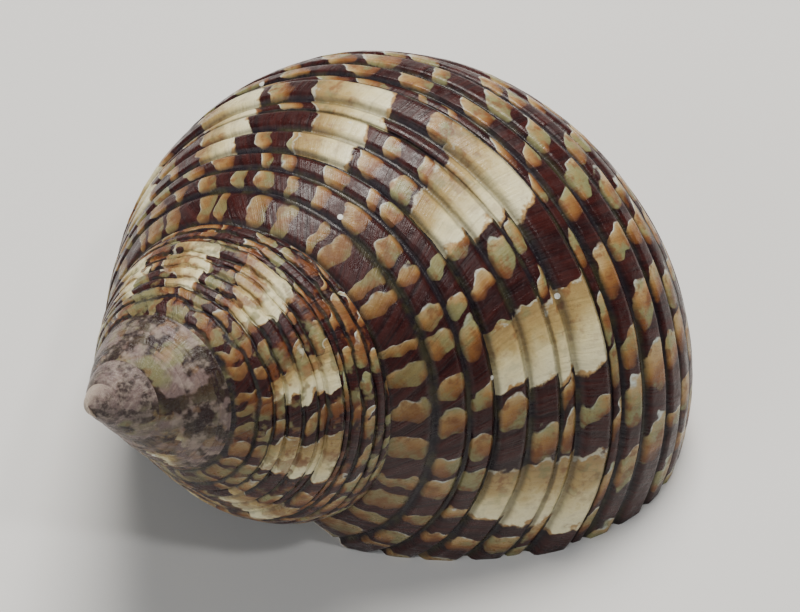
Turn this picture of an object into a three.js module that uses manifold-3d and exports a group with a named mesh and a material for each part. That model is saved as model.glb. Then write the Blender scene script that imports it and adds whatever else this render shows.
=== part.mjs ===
// Turban shell: one tube of growing size wound down a straight axis, grown as a single piece.
// It lies on the rim of its aperture, with the apex leaning up, to the left and to the front.
// Millimetres, +Z up, origin under the middle of the box.
//
// Turns count the growth of the shell and are 0 at its back. Every size grows by the same factor
// with each turn, so one section, given here at turn 0, describes the tube from the apex to the lip.
import * as THREE from 'three';
import { mergeVertices } from 'three/addons/utils/BufferGeometryUtils.js';
import Module from 'manifold-3d';

const wasm = await Module();
wasm.setup();

// The spiral
const GROWTH_PER_TURN = 1.95;
const APEX_TURN = -3.455;
const LIP_TURN = 0.545;
const APEX_DROP = -9.5;
const DESCENT = 3.40;
const DESCENT_START = -0.25;

// The section of a whorl at turn 0: a tilted superellipse, tall above its middle and short below
const SECTION_RADIUS = 6.67;
const SECTION_DROP = 28.67;
const SECTION_HALF_WIDTH = 11.42;
const SECTION_HALF_TOP = 24.19;
const SECTION_HALF_BASE = 14.07;
const SECTION_TILT = 34.7;
const SECTION_SQUARENESS = 2.5;
const SUTURE_ANGLE = 43.4;

// Spiral cords at turn 0: distance below the suture, width and height
const SHOULDER_CORDS = [
  [2.50, 1.70, 0.22],
  [4.56, 1.75, 0.30],
  [6.62, 1.75, 0.32],
  [8.51, 1.55, 0.32],
  [9.72, 0.60, 0.14],
  [10.82, 1.35, 0.30],
  [12.02, 0.70, 0.16],
  [14.19, 1.95, 0.44],
  [15.75, 0.60, 0.16],
  [16.94, 1.30, 0.32],
  [18.90, 1.60, 0.32],
  [20.75, 1.50, 0.30],
  [22.40, 1.45, 0.28],
];
const BASE_CORD_COUNT = 10;
const BASE_CORD_SPACING = 1.75;
const BASE_CORD_WIDTH = 0.95;
const BASE_CORD_HEIGHT = 0.24;
const BROAD_CORD = 1;
const CREST_SHARE = 0.24;
const NEAR_AXIS_SHARE = 0.97;

// The hollow of the tube at turn 0, a rounder section inside the whorl
const HOLLOW_RADIUS = 9.8;
const HOLLOW_DROP = 30.8;
const HOLLOW_HALF_WIDTH = 7.9;
const HOLLOW_HALF_HEIGHT = 9.6;
const HOLLOW_SQUARENESS = 2.3;
const HOLLOW_START_TURN = -0.75;
const HOLLOW_END_TURN = 0.80;
const HOLLOW_NOSE_TURNS = 0.12;
const LIP_FLARE = 0.055;
const LIP_FLARE_HEIGHT = 3;

// The pillar round the axis: radius and height below the apex, from its narrow end up into the
// base, which it meets with a wide foot
const PILLAR_PROFILE = [
  [0, -58], [1.0, -56], [1.7, -53.5], [2.3, -50.5], [2.8, -47],
  [3.3, -43], [4.3, -39.5], [6, -36.5], [8, -34], [0, -30],
];

// The shell at rest: the plane of the aperture, given by the way the axis leans from it
const AXIS_LEAN = 56.75;
const AXIS_TURN = 42.13;
const AXIS_HEADING = 49.17;
const APEX_ABOVE_PLANE = 28.38;

// Steps of the mesh
const STEPS_PER_TURN = 36;
const COARSE_TURNS = 2;
const COARSE_STRIDE = 4;
const TRACE_STEP = 0.25;
const COLUMN_CLEARANCE = 0.3;
const HOLLOW_SIDES = 22;
const PILLAR_SIDES = 20;
const GROUND_SIZE = 200;

const radians = THREE.MathUtils.degToRad;

// Turns the shell's own frame, with its axis along +Z, into the pose in which it lies
const REST = new THREE.Matrix4().makeTranslation(0, 0, APEX_ABOVE_PLANE)
  .multiply(new THREE.Matrix4().makeRotationZ(radians(AXIS_HEADING)))
  .multiply(new THREE.Matrix4().makeRotationY(radians(-AXIS_LEAN)))
  .multiply(new THREE.Matrix4().makeRotationZ(radians(-AXIS_TURN)));

// Distance from the middle of a superellipse to its edge, in the direction of an angle
function edgeDistance(angle, halfWidth, halfHeight, squareness) {
  const across = Math.abs(Math.cos(angle) / halfWidth) ** squareness;
  const along = Math.abs(Math.sin(angle) / halfHeight) ** squareness;
  return (across + along) ** (-1 / squareness);
}

// A point of a whorl's section: its radius from the axis and its height, negative below the apex
function sectionPoint(angle) {
  const halfHeight = Math.sin(angle) > 0 ? SECTION_HALF_TOP : SECTION_HALF_BASE;
  const reach = edgeDistance(angle, SECTION_HALF_WIDTH, halfHeight, SECTION_SQUARENESS);
  const direction = angle + radians(SECTION_TILT);
  return [
    SECTION_RADIUS + reach * Math.cos(direction),
    -SECTION_DROP + reach * Math.sin(direction),
  ];
}

// The section's edge from the suture down over the base to the axis
function traceSection() {
  const trace = [];
  let angle = radians(SUTURE_ANGLE);
  let distance = 0;
  let point = sectionPoint(angle);
  while (point[0] > 0) {
    const next = sectionPoint(angle - radians(TRACE_STEP));
    const along = [next[0] - point[0], next[1] - point[1]];
    const length = Math.hypot(...along);
    trace.push({ distance, point, normal: [-along[1] / length, along[0] / length] });
    distance += length;
    angle -= radians(TRACE_STEP);
    point = next;
  }
  return trace;
}

const trace = traceSection();
const sectionLength = trace.at(-1).distance;

// A point at a distance below the suture, lifted off the section by the height of a cord
function skinPoint(distance, lift) {
  const after = trace.findIndex((entry) => entry.distance > distance);
  const entry = after < 0 ? trace.at(-1) : trace[Math.max(after - 1, 0)];
  const past = distance - entry.distance;
  const { point: [radius, height], normal: [out, up] } = entry;
  return [radius + out * lift + up * past, height + up * lift - out * past];
}

// The columns of the skin, each with its distance and lift: a broad cord has two crest edges,
// a thin one has one, and a valley lies half-way to the next cord
function columnsOf(cords, end) {
  const columns = [];
  cords.forEach(([middle, width, height], index) => {
    const crests = width < BROAD_CORD ? [0] : [-CREST_SHARE, CREST_SHARE];
    crests.forEach((share) => columns.push({ distance: middle + share * width, lift: height }));
    const next = cords[index + 1];
    const valleyEnd = next ? next[0] - next[1] / 2 : end;
    columns.push({ distance: (middle + width / 2 + valleyEnd) / 2, lift: 0 });
  });
  return columns;
}

const lastShoulderCord = SHOULDER_CORDS.at(-1)[0];
const baseCords = Array.from({ length: BASE_CORD_COUNT }, (_, i) => [
  lastShoulderCord + (i + 1) * BASE_CORD_SPACING,
  BASE_CORD_WIDTH,
  BASE_CORD_HEIGHT,
]);
const COLUMNS = [
  ...columnsOf([...SHOULDER_CORDS, ...baseCords], baseCords.at(-1)[0] + BASE_CORD_SPACING),
  { distance: sectionLength * NEAR_AXIS_SHARE, lift: 0 },
];

// The last whorl sinks away from the spiral as it nears the lip
const sunkAt = (turn) => DESCENT * Math.max(0, turn - DESCENT_START) ** 2;

// A point of the section carried to its turn, in the shell's own frame with the axis along +Z
function placeOnSpiral([radius, height], turn) {
  const size = GROWTH_PER_TURN ** turn;
  const angle = 2 * Math.PI * turn;
  return new THREE.Vector3(
    size * radius * Math.sin(angle),
    size * radius * Math.cos(angle),
    size * (height - sunkAt(turn)),
  );
}

// How far down a whorl the next whorl's suture lies: where the next section's edge comes out
// of this one. The next whorl sinks as it nears the lip, so more of this whorl shows there.
function suturePlace(turn) {
  const nextEdge = trace.map(({ point: [radius, height] }) => [
    radius * GROWTH_PER_TURN,
    (height - sunkAt(turn + 1)) * GROWTH_PER_TURN + sunkAt(turn),
  ]);
  const firstCord = SHOULDER_CORDS[0][0];
  const nearSuture = nextEdge.filter((_, k) => trace[k].distance < firstCord / 2);
  let best = { gap: Infinity, distance: 0 };
  for (const { distance, point } of trace) {
    for (const edge of nearSuture) {
      const gap = Math.hypot(point[0] - edge[0], point[1] - edge[1]);
      if (gap < best.gap) {
        best = { gap, distance };
      }
    }
  }
  return best.distance;
}

// Collects vertices and triangles of one closed mesh
class Skin {
  constructor() {
    this.points = [];
    this.triangles = [];
  }

  vertex(point) {
    this.points.push(point.x, point.y, point.z);
    return this.points.length / 3 - 1;
  }

  triangle(a, b, c) {
    if (a !== b && b !== c && c !== a) {
      this.triangles.push(a, c, b);
    }
  }

  // Joins two rows of { vertex, distance } that run the same way, whatever their counts
  strip(row, nextRow) {
    let i = 0;
    let j = 0;
    while (i < row.length - 1 || j < nextRow.length - 1) {
      const rowAhead = row[i + 1]?.distance ?? Infinity;
      const nextAhead = nextRow[j + 1]?.distance ?? Infinity;
      if (rowAhead <= nextAhead) {
        this.triangle(row[i].vertex, row[i + 1].vertex, nextRow[j].vertex);
        i += 1;
      } else {
        this.triangle(row[i].vertex, nextRow[j + 1].vertex, nextRow[j].vertex);
        j += 1;
      }
    }
  }

  // Fills a flat loop that lies in a half-plane through the axis
  fill(loop) {
    const flat = loop.map((vertex) => {
      const [x, y, z] = this.points.slice(3 * vertex, 3 * vertex + 3);
      return new THREE.Vector2(Math.hypot(x, y), z);
    });
    const winding = Math.sign(THREE.ShapeUtils.area(flat));
    for (const [a, b, c] of THREE.ShapeUtils.triangulateShape(flat, [])) {
      const turned = Math.sign(THREE.ShapeUtils.area([flat[a], flat[b], flat[c]])) !== winding;
      this.triangle(loop[a], loop[turned ? c : b], loop[turned ? b : c]);
    }
  }

  solid(matrix) {
    const geometry = new THREE.BufferGeometry();
    geometry.setAttribute('position', new THREE.Float32BufferAttribute(this.points, 3));
    geometry.applyMatrix4(matrix);
    return new wasm.Manifold(new wasm.Mesh({
      numProp: 3,
      vertProperties: new Float32Array(geometry.attributes.position.array),
      triVerts: new Uint32Array(this.triangles),
    }));
  }
}

// The outer skin: one strip wound from the apex to the lip, each whorl sharing its suture with
// the whorl above, and closed by the base of the last turn, a narrow cone up the axis and the
// flat end of the tube
function outerSkin() {
  const skin = new Skin();
  const rowCount = Math.round((LIP_TURN - APEX_TURN) * STEPS_PER_TURN);
  const lastTurnStart = rowCount - STEPS_PER_TURN;
  const apex = skin.vertex(placeOnSpiral([0, APEX_DROP], APEX_TURN));
  const rows = [];
  for (let i = 0; i <= rowCount; i += 1) {
    const turn = APEX_TURN + i / STEPS_PER_TURN;
    const place = ({ distance, lift }) => {
      const vertex = skin.vertex(placeOnSpiral(skinPoint(distance, lift), turn));
      return { vertex, distance };
    };
    const suture = i < STEPS_PER_TURN ? apex : rows[i - STEPS_PER_TURN].cover.vertex;
    const start = { vertex: suture, distance: 0 };
    const coverDistance = i <= lastTurnStart ? suturePlace(turn) : Infinity;
    const coarse = i < COARSE_TURNS * STEPS_PER_TURN;
    const shown = COLUMNS.filter(({ distance }, j) => distance < coverDistance - COLUMN_CLEARANCE
      && (!coarse || j % COARSE_STRIDE === COARSE_STRIDE - 1));
    const spire = [start, ...shown.map(place)];
    const base = [];
    if (i <= lastTurnStart) {
      spire.push(place({ distance: coverDistance, lift: 0 }));
    }
    if (i === lastTurnStart) {
      base.push(...COLUMNS.filter(({ distance }) => distance > coverDistance + COLUMN_CLEARANCE)
        .map(place));
    }
    rows.push({ spire, base, cover: spire.at(-1) });
  }
  for (let i = 0; i < lastTurnStart; i += 1) {
    skin.strip(rows[i].spire, rows[i + 1].spire);
  }
  const whole = ({ spire, base }) => [...spire, ...base];
  const axisTop = skin.vertex(placeOnSpiral([0, trace.at(-1).point[1]], LIP_TURN - 1));
  for (let i = lastTurnStart; i < rowCount; i += 1) {
    skin.strip(whole(rows[i]), whole(rows[i + 1]));
    skin.triangle(whole(rows[i]).at(-1).vertex, axisTop, whole(rows[i + 1]).at(-1).vertex);
  }
  const vertices = (row) => row.map(({ vertex }) => vertex);
  skin.fill(vertices(rows[0].spire).reverse());
  const inner = vertices(rows[lastTurnStart].base).reverse();
  skin.fill([...vertices(whole(rows[rowCount])), axisTop, ...inner]);
  return skin;
}

// The hollow of the last whorls: rings from a round nose inside the shell to past the lip,
// opened out a little close to the plane of the aperture so that the lip grows thin
function hollow() {
  const skin = new Skin();
  const steps = Math.round((HOLLOW_END_TURN - HOLLOW_START_TURN) * STEPS_PER_TURN);
  const ringAt = (turn, share) => {
    const ring = [];
    for (let k = 0; k < HOLLOW_SIDES; k += 1) {
      const angle = (-2 * Math.PI * k) / HOLLOW_SIDES;
      const reach = share
        * edgeDistance(angle, HOLLOW_HALF_WIDTH, HOLLOW_HALF_HEIGHT, HOLLOW_SQUARENESS);
      const at = (distance) => placeOnSpiral([
        HOLLOW_RADIUS + distance * Math.cos(angle),
        -HOLLOW_DROP + distance * Math.sin(angle),
      ], turn);
      const heightAbovePlane = at(reach).applyMatrix4(REST).z;
      const flare = LIP_FLARE * Math.exp(-((heightAbovePlane / LIP_FLARE_HEIGHT) ** 2));
      ring.push({ vertex: skin.vertex(at(reach * (1 + flare))), distance: k });
    }
    return [...ring, { vertex: ring[0].vertex, distance: HOLLOW_SIDES }];
  };
  const middleAt = (turn) => {
    const vertex = skin.vertex(placeOnSpiral([HOLLOW_RADIUS, -HOLLOW_DROP], turn));
    return [{ vertex, distance: 0 }];
  };
  let last = middleAt(HOLLOW_START_TURN);
  for (let i = 1; i <= steps; i += 1) {
    const along = Math.min(i / (HOLLOW_NOSE_TURNS * STEPS_PER_TURN), 1);
    const ring = ringAt(HOLLOW_START_TURN + i / STEPS_PER_TURN, Math.sqrt(1 - (1 - along) ** 2));
    skin.strip(last, ring);
    last = ring;
  }
  skin.strip(last, middleAt(HOLLOW_END_TURN));
  return skin;
}

// A closed three.js solid, with its doubled vertices merged, ready to be joined or cut
function solidOf(geometry, matrix) {
  geometry.deleteAttribute('normal');
  geometry.deleteAttribute('uv');
  const merged = mergeVertices(geometry);
  merged.applyMatrix4(matrix);
  return new wasm.Manifold(new wasm.Mesh({
    numProp: 3,
    vertProperties: new Float32Array(merged.attributes.position.array),
    triVerts: new Uint32Array(merged.index.array),
  }));
}

// The pillar that the whorls wind round, which closes the base at the axis
function pillar() {
  const profile = PILLAR_PROFILE.map(([radius, height]) => new THREE.Vector2(radius, height));
  const geometry = new THREE.LatheGeometry(profile, PILLAR_SIDES);
  geometry.rotateX(Math.PI / 2);
  return solidOf(geometry, REST);
}

function belowPlane() {
  const geometry = new THREE.BoxGeometry(GROUND_SIZE, GROUND_SIZE, GROUND_SIZE);
  return solidOf(geometry, new THREE.Matrix4().makeTranslation(0, 0, -GROUND_SIZE / 2));
}

function shellGeometry() {
  const solid = outerSkin().solid(REST).add(pillar())
    .subtract(hollow().solid(REST))
    .subtract(belowPlane());
  const mesh = solid.getMesh();
  const geometry = new THREE.BufferGeometry();
  geometry.setAttribute('position', new THREE.Float32BufferAttribute(mesh.vertProperties, 3));
  geometry.setIndex([...mesh.triVerts]);
  geometry.computeBoundingBox();
  const middle = geometry.boundingBox.getCenter(new THREE.Vector3());
  geometry.translate(-middle.x, -middle.y, -geometry.boundingBox.min.z);
  geometry.computeVertexNormals();
  return geometry;
}

const shellMaterial = new THREE.MeshStandardMaterial({
  color: 0x6b4a38,
  roughness: 0.45,
  metalness: 0,
});

const shell = new THREE.Mesh(shellGeometry(), shellMaterial);
shell.name = 'shell';

const group = new THREE.Group();
group.add(shell);
export default group;
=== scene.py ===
import math

import bmesh
import bpy
import numpy as np
from mathutils import Euler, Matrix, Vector, kdtree


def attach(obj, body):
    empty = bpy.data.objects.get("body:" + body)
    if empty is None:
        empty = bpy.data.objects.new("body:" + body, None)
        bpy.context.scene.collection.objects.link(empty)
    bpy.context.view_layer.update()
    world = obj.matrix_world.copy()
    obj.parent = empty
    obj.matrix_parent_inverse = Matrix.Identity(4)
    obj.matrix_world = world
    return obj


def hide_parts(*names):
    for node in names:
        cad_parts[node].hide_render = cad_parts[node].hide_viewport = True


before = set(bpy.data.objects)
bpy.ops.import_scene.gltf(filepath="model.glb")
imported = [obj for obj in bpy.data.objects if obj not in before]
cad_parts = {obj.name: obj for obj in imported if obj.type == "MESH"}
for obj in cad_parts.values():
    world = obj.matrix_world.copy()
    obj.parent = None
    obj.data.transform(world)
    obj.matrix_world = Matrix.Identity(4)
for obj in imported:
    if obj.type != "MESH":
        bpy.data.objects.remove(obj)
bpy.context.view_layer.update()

collection = bpy.context.scene.collection

# Camera: a long lens that looks down on the lying shell from the front, a little rolled.
# Its place is measured from the middle of the shell's foot.
CAMERA_PLACE_MM = (6.66, -114.95, 173.86)
CAMERA_TURN_DEG = (35.6, 2.4, 0.0)
CAMERA_LENS_MM = 111.3
CAMERA_SENSOR_MM = 36
CAMERA_NEAR = 0.01
MM_PER_METRE = 1000

camera_data = bpy.data.cameras.new("camera")
camera_data.lens = CAMERA_LENS_MM
camera_data.sensor_width = CAMERA_SENSOR_MM
camera_data.clip_start = CAMERA_NEAR
camera = bpy.data.objects.new("camera", camera_data)
camera.location = Vector(CAMERA_PLACE_MM) / MM_PER_METRE
camera.rotation_euler = Euler([math.radians(a) for a in CAMERA_TURN_DEG])
collection.objects.link(camera)
bpy.context.scene.camera = camera

# Floor: a plain pale sheet, wide enough for every view.
# It isn't part of the object.
FLOOR_HALF_SIDE = 3.0
FLOOR_COLOR = (0.72, 0.71, 0.69, 1)
FLOOR_ROUGHNESS = 0.8

floor_mesh = bpy.data.meshes.new("floor")
floor_mesh.from_pydata(
    [(x * FLOOR_HALF_SIDE, y * FLOOR_HALF_SIDE, 0) for x, y in ((-1, -1), (1, -1), (1, 1), (-1, 1))],
    [],
    [(0, 1, 2, 3)],
)
floor = bpy.data.objects.new("floor", floor_mesh)
collection.objects.link(floor)
floor_material = bpy.data.materials.new("pale_floor")
floor_material.use_nodes = True
floor_shader = floor_material.node_tree.nodes["Principled BSDF"]
floor_shader.inputs["Base Color"].default_value = FLOOR_COLOR
floor_shader.inputs["Roughness"].default_value = FLOOR_ROUGHNESS
floor_mesh.materials.append(floor_material)

# Light: one large soft lamp high behind the shell, a wide fill from the front left, a small one that
# puts the glints on the cords, and a dim even sky. A lamp has a name, place, side, watts and colour.
LAMPS = [
    ("key", (0.06, 0.20, 0.46), 0.24, 4.1, (1.0, 0.97, 0.92)),
    ("fill", (-0.42, -0.34, 0.34), 0.45, 1.25, (0.92, 0.96, 1.0)),
    ("glint", (0.20, -0.16, 0.52), 0.04, 0.6, (1.0, 1.0, 1.0)),
]
LAMPS_AIM = (0, 0, 0.01)
SKY_COLOR = (0.95, 0.97, 1.0, 1)
SKY_STRENGTH = 0.095

for name, place, side, watts, color in LAMPS:
    lamp_data = bpy.data.lights.new(name, "AREA")
    lamp_data.size = side
    lamp_data.energy = watts
    lamp_data.color = color
    lamp = bpy.data.objects.new(name, lamp_data)
    lamp.location = place
    lamp.rotation_euler = (Vector(LAMPS_AIM) - Vector(place)).to_track_quat("-Z", "Y").to_euler()
    collection.objects.link(lamp)

world = bpy.data.worlds.new("sky")
world.use_nodes = True
world.node_tree.nodes["Background"].inputs["Color"].default_value = SKY_COLOR
world.node_tree.nodes["Background"].inputs["Strength"].default_value = SKY_STRENGTH
bpy.context.scene.world = world

# Shell, its form: a tube of growing size wound down a straight axis, grown in one piece. One section,
# given at turn 0, describes it from the apex to the lip. All lengths here are millimetres at turn 0,
# and radius and height are those of the unwound section, with the apex at height 0.
GROWTH_PER_TURN = 1.95
APEX_TURN = -4.455
LIP_TURN = 0.545
APEX_DROP = -12.8
DESCENT = 3.40
DESCENT_START = -0.25
SECTION_RADIUS = 6.67
SECTION_DROP = 28.67
SECTION_HALF_WIDTH = 11.42
SECTION_HALF_TOP = 24.19
SECTION_HALF_BASE = 14.07
SECTION_TILT = math.radians(34.7)
SECTION_SQUARENESS = 2.5
SUTURE_ANGLE = math.radians(43.4)
SUTURE_REACH = 1.25

# Cords that run along the whorls: middle below the suture, width and height
CORDS = [
    (2.05, 2.60, 0.22),
    (4.55, 1.75, 0.30),
    (6.58, 1.25, 0.30),
    (8.50, 1.85, 0.34),
    (10.80, 1.65, 0.32),
    (12.16, 0.75, 0.22),
    (14.15, 2.05, 0.46),
    (15.68, 0.65, 0.20),
    (16.98, 1.40, 0.33),
    (19.05, 1.75, 0.34),
    (20.95, 1.35, 0.32),
    (22.65, 1.50, 0.30),
] + [(24.35 + 1.75 * k, 1.30, 0.26 - 0.012 * k) for k in range(10)]
CORD_FLAT_SHARE = 0.74
CORD_FOOT_SHARE = 1.20

# How the cords and the uneven growth change on the way from the apex. A pair is where a smooth
# change starts and ends, in turns, or in distance below the suture.
EARLY_SQUEEZE = 0.88
SQUEEZE_TURNS = (-0.5, 0.05)
WORN_RELIEF = 0.12
RELIEF_TURNS = (-2.0, -0.8)
RIPPLE_TURNS = (-3.2, -1.5)
RIPPLE_DISTANCES = (0.3, 2)
SLOW_RIPPLE = 0.035
SMALL_RIPPLE = 0.018

# The shell at rest, leaning on the plane of its aperture
AXIS_LEAN = math.radians(56.75)
AXIS_TURN = math.radians(42.13)
AXIS_HEADING = math.radians(49.17)
APEX_PLACE = (-21.975, -18.997, 28.38)

# How fine the skin is: on the first turns it has only every second column
ROWS_PER_TURN = 160
COARSE_TURNS = 2
SPIRE_COLUMNS = 104
BASE_COLUMNS = 66
NEAR_AXIS_SHARE = 0.97
TRACE_SWEEP_DEG = 260
TRACE_STEP_DEG = 0.2

# The growth map on the skin: turns, in hundredths, and distance below the suture
GROWTH_MAP = "growth"
MAP_PER_TURN = 100


def edge_distance(angle, half_width, half_height, squareness):
    """How far a superellipse reaches from its middle in the direction of an angle."""
    across = np.abs(np.cos(angle) / half_width) ** squareness
    along = np.abs(np.sin(angle) / half_height) ** squareness
    return (across + along) ** (-1 / squareness)


def smooth_step(value, low, high):
    """A share that rises smoothly from 0 at low to 1 at high."""
    share = np.clip((value - low) / (high - low), 0, 1)
    return share * share * (3 - 2 * share)


# The section's edge from the suture down over the base to the axis, by distance below the suture
trace_angle = SUTURE_ANGLE - np.radians(np.arange(0, TRACE_SWEEP_DEG, TRACE_STEP_DEG))
half_height = np.where(np.sin(trace_angle) > 0, SECTION_HALF_TOP, SECTION_HALF_BASE)
trace_reach = edge_distance(trace_angle, SECTION_HALF_WIDTH, half_height, SECTION_SQUARENESS)
trace_radius = SECTION_RADIUS + trace_reach * np.cos(trace_angle + SECTION_TILT)
trace_height = -SECTION_DROP + trace_reach * np.sin(trace_angle + SECTION_TILT)
axis_entry = int(np.argmax(trace_radius < 0))
trace_radius = trace_radius[:axis_entry]
trace_height = trace_height[:axis_entry]
trace_steps = np.hypot(np.diff(trace_radius), np.diff(trace_height))
trace_distance = np.concatenate([[0], np.cumsum(trace_steps)])
section_length = float(trace_distance[-1])
trace_out = -np.gradient(trace_height, trace_distance)
trace_up = np.gradient(trace_radius, trace_distance)


def sunk_at(turn):
    """How far the last whorl has sunk away from the spiral, as it nears the lip."""
    return DESCENT * np.maximum(0, turn - DESCENT_START) ** 2


def cord_squeeze(turn):
    """On the earlier whorls the cords lie a little closer to the suture above them."""
    return EARLY_SQUEEZE + (1 - EARLY_SQUEEZE) * smooth_step(turn, *SQUEEZE_TURNS)


def cord_lift(distance, turn):
    """How far the cords stand out of the section: each has a flat top and steep sides."""
    across = distance / cord_squeeze(turn)
    lift = np.zeros_like(across)
    for middle, width, height in CORDS:
        away = np.abs(across - middle) / (width / 2)
        lift = np.maximum(lift, height * (1 - smooth_step(away, CORD_FLAT_SHARE, CORD_FOOT_SHARE)))
    return lift * (WORN_RELIEF + (1 - WORN_RELIEF) * smooth_step(turn, *RELIEF_TURNS))


def ripple(turn, distance):
    """Uneven growth: slow swellings and small lumps, faint near the suture and the apex."""
    slow = np.sin(turn * 61 + 0.5 * distance) * np.sin(turn * 23 - 0.3 * distance)
    small = np.sin(turn * 331 + 2.1 * distance) * np.sin(turn * 173 - 1.3 * distance + 2)
    grown = smooth_step(distance, *RIPPLE_DISTANCES) * smooth_step(turn, *RIPPLE_TURNS)
    return (SLOW_RIPPLE * slow + SMALL_RIPPLE * small) * grown


def skin_point(distance, turn):
    """Radius and height of the skin at a distance below the suture."""
    lift = cord_lift(distance, turn) + ripple(turn, distance)
    radius = np.interp(distance, trace_distance, trace_radius)
    height = np.interp(distance, trace_distance, trace_height)
    out = np.interp(distance, trace_distance, trace_out)
    up = np.interp(distance, trace_distance, trace_up)
    return radius + lift * out, height + lift * up


def suture_place(turn):
    """Where the next whorl's edge comes out of this whorl: its distance here, and there."""
    near = trace_distance < SUTURE_REACH
    edge_radius = trace_radius[near] * GROWTH_PER_TURN
    edge_height = (trace_height[near] - sunk_at(turn + 1)) * GROWTH_PER_TURN + sunk_at(turn)
    gap = np.hypot(trace_radius[:, None] - edge_radius, trace_height[:, None] - edge_height)
    here, there = np.unravel_index(np.argmin(gap), gap.shape)
    return trace_distance[here], trace_distance[near][there]


def unwound_mesh(name, points, turns, faces, uvs=None):
    """A mesh of the section's points, flat in x and y, that knows the turn each point belongs to."""
    mesh = bpy.data.meshes.new(name)
    flat = np.zeros((len(points), 3))
    flat[:, :2] = points
    mesh.from_pydata(flat.tolist(), [], faces)
    turn_attribute = mesh.attributes.new("turn", "FLOAT", "POINT")
    turn_attribute.data.foreach_set("value", np.asarray(turns, np.float32))
    if uvs is not None:
        layer = mesh.uv_layers.new(name=GROWTH_MAP)
        layer.data.foreach_set("uv", np.asarray(uvs, np.float32).ravel())
    unwound = bpy.data.objects.new(name, mesh)
    collection.objects.link(unwound)
    return unwound


def outer_skin():
    """The outer skin: rows from the suture down, each whorl sharing its suture with the one above."""
    rows = round((LIP_TURN - APEX_TURN) * ROWS_PER_TURN) + 1
    last_turn_row = rows - 1 - ROWS_PER_TURN
    turn = APEX_TURN + np.arange(rows) / ROWS_PER_TURN
    sutures = np.array([suture_place(t) for t in turn[:last_turn_row + 1]])
    cover = np.full(rows, sutures[-1, 0])
    cover[:last_turn_row + 1] = sutures[:, 0]
    start = np.zeros(rows)
    start[ROWS_PER_TURN:] = sutures[:, 1]
    share = np.linspace(0, 1, SPIRE_COLUMNS + 1)
    distance = start[:, None] + (cover - start)[:, None] * share
    below = np.linspace(sutures[-1, 0], section_length * NEAR_AXIS_SHARE, BASE_COLUMNS + 1)[1:]
    distance = np.hstack([distance, np.tile(below, (rows, 1))])
    points = [(0.0, APEX_DROP)]
    turns = [APEX_TURN]
    index = np.zeros(distance.shape, int)
    used = []
    for i in range(rows):
        columns = SPIRE_COLUMNS + (BASE_COLUMNS if i >= last_turn_row else 0)
        used.append(np.arange(0, columns + 1, 2 if i < COARSE_TURNS * ROWS_PER_TURN else 1))
        own = used[i][1:]
        if i >= ROWS_PER_TURN:
            index[i, 0] = index[i - ROWS_PER_TURN, SPIRE_COLUMNS]
        radius, height = skin_point(distance[i, own], turn[i])
        index[i, own] = len(points) + np.arange(len(own))
        points.extend(zip(radius.tolist(), height.tolist()))
        turns.extend([turn[i]] * len(own))
    axis_top = len(points)
    points.append((0.0, float(trace_height[-1])))
    turns.append(LIP_TURN - 1)
    faces = []
    uvs = []

    def corner(i, j):
        """A corner is (vertex, turn, distance)."""
        return index[i, j], turn[i], distance[i, j]

    def add_face(corners):
        """A corner that is met twice is left out."""
        kept = [c for k, c in enumerate(corners) if c[0] != corners[k - 1][0]]
        faces.append([c[0] for c in kept])
        uvs.extend((MAP_PER_TURN * c[1], c[2]) for c in kept)

    for i in range(rows - 1):
        after = used[i + 1]
        for j, k in zip(used[i], used[i][1:]):
            facing = after[(after >= j) & (after <= k)][::-1]
            add_face([corner(i, j), corner(i, k)] + [corner(i + 1, m) for m in facing])
        if i >= last_turn_row:
            add_face([
                (index[i, -1], turn[i], section_length),
                (axis_top, turn[i], section_length),
                (index[i + 1, -1], turn[i + 1], section_length),
            ])
    add_face([(v, APEX_TURN, 0.0) for v in index[0, used[0]]])
    inner = index[last_turn_row, SPIRE_COLUMNS + 1:][::-1]
    add_face([(v, LIP_TURN, 0.0) for v in [*index[-1], axis_top, *inner]])
    return unwound_mesh("outer_skin", points, turns, faces, uvs)


# The hollow of the last whorls, a rounder section that opens out a little towards the lip
HOLLOW_RADIUS = 9.8
HOLLOW_DROP = 30.8
HOLLOW_HALF_WIDTH = 7.9
HOLLOW_HALF_HEIGHT = 9.6
HOLLOW_SQUARENESS = 2.3
HOLLOW_START_TURN = -0.75
HOLLOW_END_TURN = 0.80
HOLLOW_NOSE_TURNS = 0.12
HOLLOW_RINGS_PER_TURN = 110
HOLLOW_SIDES = 56
LIP_FLARE = 0.085
LIP_FLARE_HEIGHT = 2.6


def height_at_rest(radius, height, turn):
    """Height over the floor of a point of the section, once it is wound and laid down."""
    size = GROWTH_PER_TURN ** turn
    angle = 2 * math.pi * turn - AXIS_TURN
    sideways = size * radius * np.sin(angle)
    down = size * (height - sunk_at(turn))
    return APEX_PLACE[2] + sideways * math.sin(AXIS_LEAN) + down * math.cos(AXIS_LEAN)


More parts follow.
